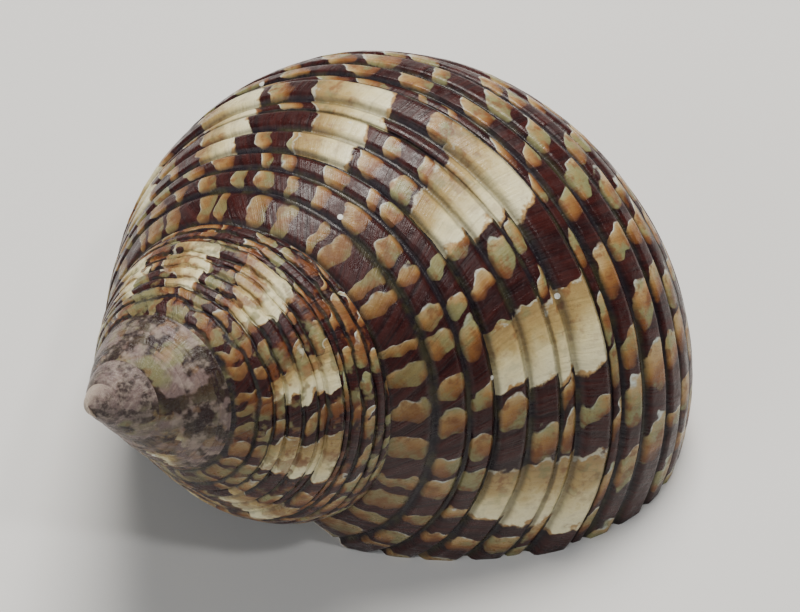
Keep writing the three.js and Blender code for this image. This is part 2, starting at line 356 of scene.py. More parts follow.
def hollow():
    """Rings from a round nose, deep in the shell, out past the lip."""
    rings = round((HOLLOW_END_TURN - HOLLOW_START_TURN) * HOLLOW_RINGS_PER_TURN)
    angle = 2 * math.pi * np.arange(HOLLOW_SIDES) / HOLLOW_SIDES
    across = np.cos(angle)
    up = np.sin(angle)
    reach = edge_distance(angle, HOLLOW_HALF_WIDTH, HOLLOW_HALF_HEIGHT, HOLLOW_SQUARENESS)
    points = [(HOLLOW_RADIUS, -HOLLOW_DROP)]
    turns = [HOLLOW_START_TURN]
    for i in range(1, rings + 1):
        turn = HOLLOW_START_TURN + i / HOLLOW_RINGS_PER_TURN
        along = min(i / (HOLLOW_NOSE_TURNS * HOLLOW_RINGS_PER_TURN), 1)
        ring_reach = reach * math.sqrt(1 - (1 - along) ** 2)
        above = height_at_rest(HOLLOW_RADIUS + ring_reach * across, -HOLLOW_DROP + ring_reach * up, turn)
        flared = ring_reach * (1 + LIP_FLARE * np.exp(-(above / LIP_FLARE_HEIGHT) ** 2))
        radius = HOLLOW_RADIUS + flared * across
        height = -HOLLOW_DROP + flared * up
        points.extend(zip(radius.tolist(), height.tolist()))
        turns.extend([turn] * HOLLOW_SIDES)
    points.append((HOLLOW_RADIUS, -HOLLOW_DROP))
    turns.append(HOLLOW_END_TURN)
    last_ring = 1 + (rings - 1) * HOLLOW_SIDES
    faces = []
    for k in range(HOLLOW_SIDES):
        after = (k + 1) % HOLLOW_SIDES
        faces.append((0, 1 + k, 1 + after))
        for i in range(rings - 1):
            ring = 1 + i * HOLLOW_SIDES
            faces.append((ring + k, ring + HOLLOW_SIDES + k, ring + HOLLOW_SIDES + after, ring + after))
        faces.append((last_ring + k, len(points) - 1, last_ring + after))
    return unwound_mesh("hollow", points, turns, faces)


# The pillar round the axis: radius and height, from its narrow end up into the base
PILLAR_PROFILE = [
    (0, -58), (1.0, -56), (1.7, -53.5), (2.3, -50.5), (2.8, -47),
    (3.3, -43), (4.3, -39.5), (6, -36.5), (8, -34), (0, -30),
]
PILLAR_SIDES = 64
PILLAR_STEP = 0.35
PILLAR_SMOOTHINGS = 6


def new_piece(name, mesh):
    """A new object of a bmesh, which is freed."""
    data = bpy.data.meshes.new(name)
    mesh.to_mesh(data)
    mesh.free()
    piece = bpy.data.objects.new(name, data)
    collection.objects.link(piece)
    return piece


def pillar():
    """A plain lathed form. It isn't wound, so it is made upright and only laid down."""
    profile = np.array(PILLAR_PROFILE, float)
    run = np.concatenate([[0], np.cumsum(np.hypot(*np.diff(profile, axis=0).T))])
    at = np.linspace(0, run[-1], int(run[-1] / PILLAR_STEP))[1:-1]
    radius = np.interp(at, run, profile[:, 0])
    height = np.interp(at, run, profile[:, 1])
    for _ in range(PILLAR_SMOOTHINGS):
        radius[1:-1] = (radius[:-2] + 2 * radius[1:-1] + radius[2:]) / 4
    angles = [2 * math.pi * k / PILLAR_SIDES for k in range(PILLAR_SIDES)]
    mesh = bmesh.new()
    low = mesh.verts.new((0, 0, profile[0, 1]))
    high = mesh.verts.new((0, 0, profile[-1, 1]))
    rings = []
    for r, h in zip(radius, height):
        rings.append([mesh.verts.new((r * math.cos(a), r * math.sin(a), h)) for a in angles])
    for k in range(PILLAR_SIDES):
        mesh.faces.new((low, rings[0][k - 1], rings[0][k]))
        mesh.faces.new((high, rings[-1][k], rings[-1][k - 1]))
        for ring, after in zip(rings, rings[1:]):
            mesh.faces.new((ring[k], ring[k - 1], after[k - 1], after[k]))
    return new_piece("pillar", mesh)


def add_node(tree, kind, **settings):
    """A node with its settings, in order. in_ names an input: a socket is linked to it, a value set."""
    node = tree.nodes.new(kind)
    for name, value in settings.items():
        if name.startswith("in_"):
            key = name[3:]
            socket = node.inputs[int(key)] if key.isdigit() else node.inputs[key]
            if isinstance(value, bpy.types.NodeSocket):
                tree.links.new(value, socket)
            else:
                socket.default_value = value
        else:
            setattr(node, name, value)
    return node


def calculate(tree, operation, *values):
    """A Math node's result."""
    inputs = {f"in_{k}": value for k, value in enumerate(values)}
    return add_node(tree, "ShaderNodeMath", operation=operation, **inputs).outputs[0]


def winding_tree():
    """Geometry nodes that wind a flat section mesh on the shell's spiral and lay it down."""
    tree = bpy.data.node_groups.new("wind_on_spiral", "GeometryNodeTree")
    tree.interface.new_socket("Geometry", in_out="INPUT", socket_type="NodeSocketGeometry")
    tree.interface.new_socket("Geometry", in_out="OUTPUT", socket_type="NodeSocketGeometry")
    for name, value in (
        ("Growth per turn", GROWTH_PER_TURN),
        ("Descent", DESCENT),
        ("Descent start", DESCENT_START),
        ("Axis turn", AXIS_TURN),
        ("Axis lean", AXIS_LEAN),
        ("Axis heading", AXIS_HEADING),
        ("Metres per unit", 1 / MM_PER_METRE),
    ):
        socket = tree.interface.new_socket(name, in_out="INPUT", socket_type="NodeSocketFloat")
        socket.default_value = value
    for name, kind in (("Apex place", "NodeSocketVector"), ("Surface", "NodeSocketMaterial")):
        tree.interface.new_socket(name, in_out="INPUT", socket_type=kind)
    given = tree.nodes.new("NodeGroupInput").outputs
    turn = add_node(tree, "GeometryNodeInputNamedAttribute", data_type="FLOAT", in_Name="turn").outputs[0]
    flat = add_node(tree, "GeometryNodeInputPosition").outputs[0]
    section = add_node(tree, "ShaderNodeSeparateXYZ", in_0=flat).outputs
    size = calculate(tree, "POWER", given["Growth per turn"], turn)
    past = calculate(tree, "MAXIMUM", calculate(tree, "SUBTRACT", turn, given["Descent start"]), 0.0)
    sunk = calculate(tree, "MULTIPLY", calculate(tree, "MULTIPLY", past, past), given["Descent"])
    angle = calculate(tree, "MULTIPLY", turn, 2 * math.pi)
    radius = calculate(tree, "MULTIPLY", size, section[0])
    laid = add_node(
        tree,
        "ShaderNodeCombineXYZ",
        in_0=calculate(tree, "MULTIPLY", radius, calculate(tree, "SINE", angle)),
        in_1=calculate(tree, "MULTIPLY", radius, calculate(tree, "COSINE", angle)),
        in_2=calculate(tree, "MULTIPLY", size, calculate(tree, "SUBTRACT", section[1], sunk)),
    ).outputs[0]
    for axis, name, sign in (
        ("Z_AXIS", "Axis turn", -1.0),
        ("Y_AXIS", "Axis lean", -1.0),
        ("Z_AXIS", "Axis heading", 1.0),
    ):
        by = calculate(tree, "MULTIPLY", given[name], sign)
        rotate = add_node(tree, "ShaderNodeVectorRotate", rotation_type=axis, in_Vector=laid, in_Angle=by)
        laid = rotate.outputs[0]
    placed = add_node(tree, "ShaderNodeVectorMath", operation="ADD", in_0=laid, in_1=given["Apex place"])
    metres = add_node(
        tree,
        "ShaderNodeVectorMath",
        operation="SCALE",
        in_0=placed.outputs[0],
        in_Scale=given["Metres per unit"],
    )
    moved = add_node(
        tree,
        "GeometryNodeSetPosition",
        in_Geometry=given["Geometry"],
        in_Position=metres.outputs[0],
    )
    realized = add_node(tree, "GeometryNodeRealizeInstances", in_Geometry=moved.outputs[0])
    surfaced = add_node(
        tree,
        "GeometryNodeSetMaterial",
        in_Geometry=realized.outputs[0],
        in_Material=given["Surface"],
    )
    tree.links.new(surfaced.outputs[0], tree.nodes.new("NodeGroupOutput").inputs[0])
    return tree


def finished_mesh(piece, name):
    """The piece's evaluated mesh as a plain mesh."""
    bpy.context.view_layer.update()
    depsgraph = bpy.context.evaluated_depsgraph_get()
    mesh = bpy.data.meshes.new_from_object(piece.evaluated_get(depsgraph), depsgraph=depsgraph)
    mesh.name = name
    return mesh


def facing_out(mesh):
    """Turns every face of a closed mesh outwards."""
    work = bmesh.new()
    work.from_mesh(mesh)
    bmesh.ops.recalc_face_normals(work, faces=work.faces)
    if work.calc_volume(signed=True) < 0:
        bmesh.ops.reverse_faces(work, faces=work.faces)
    work.to_mesh(mesh)
    work.free()


# Shell, its colours. The outside is maroon brown, darker and greyer in the grooves, partly their own tint and
# partly painted shade. Cream flames cross the cords, and each cord carries small spots, pale where they
# start, with a thin painted highlight on that edge, and brown where they fade.
# The marks are laid out on a map of their own: flames passed along the whorl, cords passed across it.
MARKS_MAP = "marks"
FLAME_STARTS = [
    -1.29, -1.18, -1.07, -0.965, -0.855, -0.737, -0.632, -0.520, -0.410, -0.305,
    -0.208, -0.112, -0.022, 0.076, 0.169, 0.266, 0.367, 0.470,
]
FLAMES_BEFORE = 40
EARLY_FLAME_TURNS = 0.11
LATE_FLAME_TURNS = 0.10
FIRST_BORDER = 0.35
LAST_BORDER_SHARE = 0.7
PAST_AXIS_SHARE = 1.2


def cord_borders():
    """The middles of the grooves, from the suture down."""
    borders = [FIRST_BORDER]
    for (middle, width, _), (after, after_width, _) in zip(CORDS, CORDS[1:]):
        borders.append((middle + width / 2 + after - after_width / 2) / 2)
    last_middle, last_width, _ = CORDS[-1]
    return borders + [last_middle + LAST_BORDER_SHARE * last_width, section_length * PAST_AXIS_SHARE]


def lay_marks_map(mesh):
    """Writes the marks' map on every corner, from the turn and the distance that the corner carries."""
    growth = np.zeros(len(mesh.loops) * 2, np.float32)
    mesh.uv_layers[GROWTH_MAP].data.foreach_get("uv", growth)
    turn = growth[0::2].astype(float) / MAP_PER_TURN
    distance = growth[1::2].astype(float)
    first = FLAME_STARTS[0] - FLAMES_BEFORE * EARLY_FLAME_TURNS
    last = FLAME_STARTS[-1] + LATE_FLAME_TURNS
    counts = np.array([0, *range(FLAMES_BEFORE, FLAMES_BEFORE + len(FLAME_STARTS) + 1)], float)
    passed = np.interp(turn, [first, *FLAME_STARTS, last], counts)
    borders = cord_borders()
    cords = np.interp(distance / cord_squeeze(turn), borders, np.arange(len(borders)))
    layer = mesh.uv_layers.new(name=MARKS_MAP)
    layer.data.foreach_set("uv", np.stack([passed, cords], axis=1).astype(np.float32).ravel())


def srgb(red, green, blue):
    """A colour of 0 to 255 parts as linear light."""
    parts = [c / 255 for c in (red, green, blue)]
    return tuple(p / 12.92 if p <= 0.04045 else ((p + 0.055) / 1.055) ** 2.4 for p in parts) + (1.0,)


def mixed(tree, share, first, second):
    """A colour between two, by share."""
    node = add_node(tree, "ShaderNodeMix", data_type="RGBA", in_0=share, in_6=first, in_7=second)
    return node.outputs[2]


def between(tree, value, low, high, to_low=0.0, to_high=1.0):
    """A smooth step of a value from low to high."""
    node = add_node(
        tree,
        "ShaderNodeMapRange",
        interpolation_type="SMOOTHSTEP",
        in_0=value,
        in_1=low,
        in_2=high,
        in_3=to_low,
        in_4=to_high,
    )
    return node.outputs[0]


def ramp(tree, value, stops):
    """A colour ramp with stops of (place, colour)."""
    node = add_node(tree, "ShaderNodeValToRGB", in_0=value)
    elements = node.color_ramp.elements
    while len(elements) < len(stops):
        elements.new(0.5)
    for element, (place, color) in zip(elements, stops):
        element.position = place
        element.color = color
    return node.outputs[0]


def stretched(tree, vector, scale):
    """Coordinates with a scale of their own along each axis."""
    return add_node(tree, "ShaderNodeMapping", in_Vector=vector, in_Scale=scale).outputs[0]


def noise(tree, vector, scale, detail, roughness):
    """Soft noise from 0 to 1, around a half."""
    node = add_node(
        tree,
        "ShaderNodeTexNoise",
        in_Vector=vector,
        in_Scale=scale,
        in_Detail=detail,
        in_Roughness=roughness,
    )
    return node.outputs[0]


def around_zero(tree, value):
    """Noise around 0 in place of a half."""
    return calculate(tree, "SUBTRACT", value, 0.5)


# Growth lines: how far they slant, the distance where they stop slanting, and two sizes of line
LINE_SLANT = 1.35
LINE_SLANT_FOOT = 13.5
COARSE_LINES = (1.6, 0.16, 1.0)
FINE_LINES = (6.5, 0.35, 1.0)
COARSE_LINE_SHARE = 0.6


def growth_line_group():
    """Fine lines of growth: slanted across the whorl, on coordinates along and across it."""
    group = bpy.data.node_groups.new("growth_lines", "ShaderNodeTree")
    group.interface.new_socket("Vector", in_out="INPUT", socket_type="NodeSocketVector")
    for name in ("Slant", "Foot"):
        group.interface.new_socket(name, in_out="INPUT", socket_type="NodeSocketFloat")
    group.interface.new_socket("Height", in_out="OUTPUT", socket_type="NodeSocketFloat")
    given = group.nodes.new("NodeGroupInput").outputs
    along, across = add_node(group, "ShaderNodeSeparateXYZ", in_0=given["Vector"]).outputs[:2]
    down = calculate(group, "MINIMUM", across, given["Foot"])
    share = calculate(group, "DIVIDE", down, given["Foot"])
    eased = calculate(group, "MULTIPLY", down, calculate(group, "MULTIPLY_ADD", share, -0.5, 1.0))
    slanted = calculate(group, "MULTIPLY_ADD", eased, given["Slant"], along)
    place = add_node(group, "ShaderNodeCombineXYZ", in_0=slanted, in_1=across, in_2=0.0).outputs[0]
    coarse = noise(group, stretched(group, place, COARSE_LINES), 1.0, 2.0, 0.5)
    fine = noise(group, stretched(group, place, FINE_LINES), 1.0, 3.0, 0.6)
    total = calculate(group, "MULTIPLY", fine, 1 - COARSE_LINE_SHARE)
    total = calculate(group, "MULTIPLY_ADD", coarse, COARSE_LINE_SHARE, total)
    group.links.new(total, group.nodes.new("NodeGroupOutput").inputs[0])
    return group


def chance(tree, first, second, seed):
    """A fixed random number from 0 to 1 for a pair of counts."""
    key = add_node(tree, "ShaderNodeCombineXYZ", in_0=first, in_1=second, in_2=seed).outputs[0]
    return add_node(tree, "ShaderNodeTexWhiteNoise", noise_dimensions="3D", in_Vector=key).outputs["Value"]


# Marks on the cords, as shares of a flame's turns along, and of a cord's half width across. What a
# name ending in CHANCE gives is the most that a random share of it adds.
MARK_SLANT = 0.11
CREST_EDGE = (0.92, 0.62)
FLAME_FIRST_CORD = 3
FLAME_LAST_CORD = 6
FLAME_MM = 13.0
FLAME_LEAD_PER_CORD = 0.06
FLAME_LEAD_CHANCE = 0.11
FLAME_TRAIL = 0.56
FLAME_TRAIL_PER_CORD = 0.025
FLAME_TRAIL_CHANCE = 0.08
FLAME_EDGE = (-0.09, 0.16)
SPOTS_PER_FLAME = 2.4
SPOTS_CHANCE = 1.1
SPOTS_SHIFT_CHANCE = 7.0
SPOT_LENGTH = 0.32
SPOT_LENGTH_CHANCE = 0.42
SPOT_HALF_WIDTH = 0.88
SPOT_ROUNDNESS = 3.0
SPOT_RAGGED = 0.9
SPOT_EDGE = (1.16, 0.80)
SPOTS_MISSING = 0.08
SPOTS_MISSING_BY_FLAMES = 0.36


def cord_marks_group():
    """Spots and flames on the map of flames passed and cords passed, all with ragged edges."""
    group = bpy.data.node_groups.new("cord_marks", "ShaderNodeTree")
    group.interface.new_socket("Map", in_out="INPUT", socket_type="NodeSocketVector")
    for name in ("Ragged", "Early"):
        group.interface.new_socket(name, in_out="INPUT", socket_type="NodeSocketFloat")
    for name in ("Crest", "Spot", "Along spot", "Flame", "Along flame"):
        group.interface.new_socket(name, in_out="OUTPUT", socket_type="NodeSocketFloat")
    given = group.nodes.new("NodeGroupInput").outputs
    ragged = given["Ragged"]
    flames_passed, cords_passed = add_node(group, "ShaderNodeSeparateXYZ", in_0=given["Map"]).outputs[:2]

    cord = calculate(group, "FLOOR", cords_passed)
    in_cord = around_zero(group, calculate(group, "FRACT", cords_passed))
    off_middle = calculate(group, "MULTIPLY", calculate(group, "ABSOLUTE", in_cord), 2.0)
    crest = between(group, off_middle, *CREST_EDGE)
    passed = calculate(group, "MULTIPLY_ADD", in_cord, MARK_SLANT, flames_passed)

    flame = calculate(group, "FLOOR", passed)
    in_flame = calculate(group, "FRACT", passed)
    above_last = calculate(group, "SUBTRACT", float(FLAME_LAST_CORD), cord)
    lead = calculate(group, "MULTIPLY", above_last, FLAME_LEAD_PER_CORD)
    lead = calculate(group, "MULTIPLY_ADD", chance(group, flame, cord, 6.0), FLAME_LEAD_CHANCE, lead)
    trail = calculate(group, "MULTIPLY_ADD", above_last, FLAME_TRAIL_PER_CORD, FLAME_TRAIL)
    trail = calculate(group, "MULTIPLY_ADD", chance(group, flame, cord, 7.0), FLAME_TRAIL_CHANCE, trail)
    since_lead = calculate(group, "SUBTRACT", in_flame, lead)
    until_trail = calculate(group, "SUBTRACT", trail, in_flame)
    flame_edge = calculate(group, "MINIMUM", since_lead, until_trail)
    flame_edge = calculate(group, "MULTIPLY_ADD", flame_edge, FLAME_MM, ragged)
    with_early = calculate(group, "ADD", cord, given["Early"])
    from_first = calculate(group, "GREATER_THAN", with_early, FLAME_FIRST_CORD - 0.5)
    to_last = calculate(group, "LESS_THAN", cord, FLAME_LAST_CORD + 0.5)
    on_flame_cord = calculate(group, "MULTIPLY", from_first, to_last)
    flame_mask = calculate(group, "MULTIPLY", between(group, flame_edge, *FLAME_EDGE), on_flame_cord)
    along_flame = calculate(group, "DIVIDE", since_lead, calculate(group, "SUBTRACT", trail, lead))

    per_flame = calculate(group, "MULTIPLY_ADD", chance(group, cord, 0.0, 1.0), SPOTS_CHANCE, SPOTS_PER_FLAME)
    along = calculate(group, "MULTIPLY", passed, per_flame)
    along = calculate(group, "MULTIPLY_ADD", chance(group, cord, 0.0, 2.0), SPOTS_SHIFT_CHANCE, along)
    spot = calculate(group, "FLOOR", along)
    in_spot = calculate(group, "FRACT", along)
    length = chance(group, spot, cord, 3.0)
    length = calculate(group, "MULTIPLY_ADD", length, SPOT_LENGTH_CHANCE, SPOT_LENGTH)
    room = calculate(group, "SUBTRACT", 1.0, length)
    room = calculate(group, "MULTIPLY", room, chance(group, spot, cord, 4.0))
    along_spot = calculate(group, "DIVIDE", calculate(group, "SUBTRACT", in_spot, room), length)
    off_spot = calculate(group, "ABSOLUTE", calculate(group, "MULTIPLY_ADD", along_spot, 2.0, -1.0))
    off_spot = calculate(group, "POWER", off_spot, SPOT_ROUNDNESS)
    off_cord = calculate(group, "DIVIDE", off_middle, SPOT_HALF_WIDTH)
    off_cord = calculate(group, "POWER", off_cord, SPOT_ROUNDNESS)
    bead = calculate(group, "ADD", off_spot, off_cord)
    bead = calculate(group, "SUBTRACT", bead, calculate(group, "MULTIPLY", ragged, SPOT_RAGGED))
    missing = calculate(group, "MULTIPLY_ADD", on_flame_cord, SPOTS_MISSING_BY_FLAMES, SPOTS_MISSING)
    present = calculate(group, "GREATER_THAN", chance(group, spot, cord, 5.0), missing)
    spot_mask = calculate(group, "MULTIPLY", between(group, bead, *SPOT_EDGE), present)

    result = group.nodes.new("NodeGroupOutput").inputs
    for name, socket in (
        ("Crest", crest),
        ("Spot", spot_mask),
        ("Along spot", along_spot),
        ("Flame", flame_mask),
        ("Along flame", along_flame),
    ):
        group.links.new(socket, result[name])
    return group


# The white coat round the pillar and in the corner of the mouth: its colours, its edge on the skin by
# distance below the suture, and how far in front of the lip it starts, in hundredths of a turn
CALLUS_WHITE = srgb(222, 214, 198)
CALLUS_OLIVE = srgb(176, 168, 136)
CALLUS_PINK = srgb(214, 190, 178)
CALLUS_EDGE = (38.0, 41.0)
CALLUS_AT_LIP = (0.12, 0.02)


def callus_group():
    """The smooth white coat, faintly clouded."""
    group = bpy.data.node_groups.new("callus_color", "ShaderNodeTree")
    group.interface.new_socket("Vector", in_out="INPUT", socket_type="NodeSocketVector")
    group.interface.new_socket("Color", in_out="OUTPUT", socket_type="NodeSocketColor")
    place = group.nodes.new("NodeGroupInput").outputs[0]
    cloud = noise(group, place, 260.0, 3.0, 0.5)
    stain = noise(group, stretched(group, place, (1.0, 1.0, 3.0)), 380.0, 4.0, 0.6)
    color = mixed(group, between(group, cloud, 0.40, 0.65, 0.0, 0.7), CALLUS_WHITE, CALLUS_PINK)
    color = mixed(group, between(group, stain, 0.50, 0.72, 0.0, 0.7), color, CALLUS_OLIVE)
    group.links.new(color, group.nodes.new("NodeGroupOutput").inputs[0])
    return group


growth_lines = growth_line_group()
cord_marks = cord_marks_group()
callus = callus_group()


def callus_color(tree, place):
    """The white coat's colour in a material."""
    return add_node(tree, "ShaderNodeGroup", node_tree=callus, in_Vector=place).outputs["Color"]


def new_material(name):
    """A new material, with its tree and its shader."""
    material = bpy.data.materials.new(name)
    material.use_nodes = True
    tree = material.node_tree
    return material, tree, tree.nodes["Principled BSDF"]


def add_relief(tree, shader, height, strength, depth):
    """Low relief on a surface, from a height of about 0 to 1 and a depth in metres."""
    bump = add_node(tree, "ShaderNodeBump", in_Strength=strength, in_Distance=depth, in_Height=height)
    tree.links.new(bump.outputs[0], shader.inputs["Normal"])


MAROON = srgb(64, 27, 24)
DARK_MAROON = srgb(33, 16, 18)
# The grooves: a near-black blue that is painted shade, and an olive tint of their own.
GROOVE_SHADE_BLUE = srgb(24, 27, 33)
GROOVE_OLIVE = srgb(54, 55, 38)
# The spots' colours, from start to fade. The thin bluish white at the start is a painted highlight along each
# spot's edge, and the rest is the spots' own colour.
SPOT_RAMP = [
    (0.00, srgb(196, 204, 196)),
    (0.09, srgb(172, 148, 104)),
    (0.38, srgb(152, 116, 68)),
    (0.72, srgb(118, 76, 42)),
    (1.00, srgb(66, 34, 24)),
]
FLAME_RAMP = [
    (0.00, srgb(178, 172, 150)),
    (0.04, srgb(148, 122, 78)),
    (0.34, srgb(172, 148, 96)),
    (0.60, srgb(216, 202, 152)),
    (0.95, srgb(228, 220, 180)),
    (1.00, srgb(176, 142, 92)),
]
MARK_GREEN = srgb(124, 130, 90)
MARK_RUST = srgb(112, 66, 36)
SUTURE_TAN = srgb(104, 76, 44)
WORN_MAUVE = srgb(112, 94, 90)
WORN_PALE = srgb(164, 148, 136)
WORN_DARK = srgb(42, 28, 27)
WORN_GREEN = srgb(114, 112, 80)
NUB_PALE = srgb(190, 172, 154)
WHITE_SPECK = srgb(214, 214, 206)

# Noises of the outside: scale, detail and roughness. The scale is per metre, but per unit of the
# growth map for the blotches.
BLOTCH = (0.42, 4.0, 0.6)
PATCH = (330.0, 2.0, 0.5)
CLOUD = (420.0, 3.0, 0.55)
STAIN = (560.0, 3.0, 0.6)
WAVE = (800.0, 0.6, 0.4)
MOTTLE = (900.0, 3.0, 0.6)
GRAIN = (2400.0, 4.0, 0.6)
SPECK_SCALE = 180.0

# Where each change towards the apex sets in and where it is complete, in hundredths of a turn
EARLY_MARKS = (-35.0, -60.0)
WILD_EDGES = (-20.0, -75.0)
STRAY_MARKS = (-30.0, -105.0)
STAINED_MARKS = (-20.0, -62.0)
FILLED_FLAMES = (-20.0, -70.0)
FADED_GROOVES = (-95.0, -170.0)
WORN_SPIRE = (-125.0, -165.0)
BARE_TIP = (-235.0, -270.0)
PALE_NUB = (-375.0, -410.0)
WEAR_SPREAD = 160.0

# How strong the wave and the grain are in the marks' ragged edges, and what brings them round 0
EDGE_WAVE = (0.55, -0.27)
EDGE_GRAIN = (0.5, -0.25)


def outside_marks(tree, turn, place, wave, cloud, grain):
    """The cord marks' outputs, on a map that strays more and more towards the apex."""
    marks_map = add_node(tree, "ShaderNodeUVMap", uv_map=MARKS_MAP).outputs[0]
    wavy = calculate(tree, "MULTIPLY_ADD", wave, *EDGE_WAVE)
    grainy = calculate(tree, "MULTIPLY_ADD", grain, *EDGE_GRAIN)
    wild = between(tree, turn, *WILD_EDGES, 1.0, 1.9)
    ragged = calculate(tree, "MULTIPLY", calculate(tree, "ADD", wavy, grainy), wild)
    stray = between(tree, turn, *STRAY_MARKS, 0.16, 0.60)
    along = calculate(tree, "MULTIPLY", around_zero(tree, wave), stray)
    across = calculate(tree, "MULTIPLY", around_zero(tree, cloud), stray)
    shift = add_node(
        tree,
        "ShaderNodeCombineXYZ",
        in_0=calculate(tree, "MULTIPLY", along, 0.9),
        in_1=calculate(tree, "MULTIPLY", across, calculate(tree, "MULTIPLY", stray, 5.0)),
        in_2=0.0,
    ).outputs[0]
    strayed = add_node(tree, "ShaderNodeVectorMath", operation="ADD", in_0=marks_map, in_1=shift).outputs[0]
    return add_node(
        tree,
        "ShaderNodeGroup",
        node_tree=cord_marks,
        in_Map=strayed,
        in_Ragged=ragged,
        in_Early=between(tree, turn, *EARLY_MARKS),
    ).outputs


def outside_material():
    """The outside: marks on brown cords, dark grooves, a worn tip, and the white coat at its edges."""
    material, tree, shader = new_material("shell_outside")
    growth = add_node(tree, "ShaderNodeUVMap", uv_map=GROWTH_MAP).outputs[0]
    place = add_node(tree, "ShaderNodeTexCoord").outputs["Object"]
    turn, distance = add_node(tree, "ShaderNodeSeparateXYZ", in_0=growth).outputs[:2]
    lines = add_node(
        tree,
        "ShaderNodeGroup",
        node_tree=growth_lines,
        in_Vector=growth,
        in_Slant=LINE_SLANT,
        in_Foot=LINE_SLANT_FOOT,
    ).outputs["Height"]
    blotch = noise(tree, growth, *BLOTCH)
    patch = noise(tree, place, *PATCH)
    cloud = noise(tree, place, *CLOUD)
    stain = noise(tree, place, *STAIN)
    wave = noise(tree, place, *WAVE)
    mottle = noise(tree, place, *MOTTLE)
    grain = noise(tree, place, *GRAIN)
    marks = outside_marks(tree, turn, place, wave, cloud, grain)

    brown = mixed(tree, between(tree, lines, 0.30, 0.70), DARK_MAROON, MAROON)
    uneven = around_zero(tree, mottle)
    green_share = between(tree, cloud, 0.46, 0.62, 0.0, 0.75)
    # A spot's colour, with a painted highlight at its starting edge.
    spot = ramp(tree, calculate(tree, "MULTIPLY_ADD", uneven, 0.30, marks["Along spot"]), SPOT_RAMP)
    spot = mixed(tree, green_share, spot, MARK_GREEN)
    spot = mixed(tree, between(tree, mottle, 0.50, 0.66, 0.0, 0.7), spot, MARK_RUST)
    spot = mixed(tree, between(tree, distance, 8.0, 2.0, 0.0, 0.45), spot, SUTURE_TAN)
    fleck = mixed(tree, green_share, MARK_RUST, MARK_GREEN)
    flecked = between(tree, marks["Along flame"], 0.75, 0.25, 0.25, 0.70)
    flecked = calculate(tree, "MULTIPLY", between(tree, mottle, 0.48, 0.66), flecked)
    along_flame = calculate(tree, "MULTIPLY_ADD", uneven, 0.40, marks["Along flame"])
    flame = mixed(tree, flecked, ramp(tree, along_flame, FLAME_RAMP), fleck)
    color = mixed(tree, marks["Spot"], brown, spot)
    color = mixed(tree, marks["Flame"], color, flame)
    stained = between(tree, stain, 0.50, 0.59, 0.0, 0.72)
    stained = calculate(tree, "MULTIPLY", stained, between(tree, turn, *STAINED_MARKS))
    color = mixed(tree, stained, color, fleck)

    # The grooves between the cords are darkened: partly their own grey and olive tint, partly painted shade
    # in the recesses. The darkening is weaker on the flames and fades towards the worn apex.
    crest = calculate(tree, "MAXIMUM", marks["Crest"], between(tree, turn, *FADED_GROOVES, 0.0, 0.85))
    filled = between(tree, turn, *FILLED_FLAMES, 0.30, 0.80)
    filled = calculate(tree, "MAXIMUM", crest, calculate(tree, "MULTIPLY", marks["Flame"], filled))
    groove_tint_and_shade = mixed(tree, between(tree, blotch, 0.45, 0.62), GROOVE_SHADE_BLUE, GROOVE_OLIVE)
    color = mixed(tree, filled, mixed(tree, 0.75, color, groove_tint_and_shade), color)
    streaks = between(tree, lines, 0.52, 0.30, 0.0, 0.45)
    color = mixed(tree, streaks, color, mixed(tree, 0.5, color, DARK_MAROON))

    worn = mixed(tree, between(tree, patch, 0.46, 0.60), WORN_MAUVE, WORN_GREEN)
    worn = mixed(tree, between(tree, wave, 0.56, 0.64, 0.0, 0.7), worn, SUTURE_TAN)
    worn = mixed(tree, between(tree, cloud, 0.46, 0.53), worn, WORN_DARK)
    worn = mixed(tree, between(tree, mottle, 0.50, 0.70, 0.0, 0.6), worn, WORN_PALE)
    wear_turn = calculate(tree, "MULTIPLY_ADD", around_zero(tree, patch), WEAR_SPREAD, turn)
    color = mixed(tree, between(tree, wear_turn, *WORN_SPIRE, 0.0, 0.92), color, worn)
    bare = mixed(tree, between(tree, mottle, 0.42, 0.60), WORN_MAUVE, WORN_DARK)
    bare = mixed(tree, between(tree, grain, 0.40, 0.70, 0.0, 0.6), bare, WORN_PALE)
    color = mixed(tree, between(tree, wear_turn, *BARE_TIP, 0.0, 0.9), color, bare)
    color = mixed(tree, between(tree, turn, *PALE_NUB), color, NUB_PALE)

    at_lip = between(tree, turn, *(MAP_PER_TURN * LIP_TURN - before for before in CALLUS_AT_LIP))
    near_axis = calculate(tree, "MULTIPLY_ADD", around_zero(tree, mottle), 6.0, distance)
    coated = calculate(tree, "MAXIMUM", at_lip, between(tree, near_axis, *CALLUS_EDGE))
    color = mixed(tree, coated, color, callus_color(tree, place))
    # Small white specks, scattered at random over the outside.
    white_specks = add_node(tree, "ShaderNodeTexVoronoi", in_Vector=place, in_Scale=SPECK_SCALE)
    color = mixed(tree, between(tree, white_specks.outputs["Distance"], 0.050, 0.036), color, WHITE_SPECK)
    tree.links.new(color, shader.inputs["Base Color"])

    tree.links.new(between(tree, mottle, 0.35, 0.65, 0.24, 0.46), shader.inputs["Roughness"])
    shader.inputs["Specular IOR Level"].default_value = 0.30
    height = calculate(tree, "MULTIPLY_ADD", lines, 0.7, calculate(tree, "MULTIPLY", grain, 0.30))
    height = calculate(tree, "MULTIPLY_ADD", crest, 0.5, height)
    add_relief(tree, shader, height, 0.6, 0.00025)
    return material


NACRE_WHITE = srgb(232, 222, 214)
NACRE_GREEN = srgb(214, 224, 212)
NACRE_PINK = srgb(236, 208, 206)


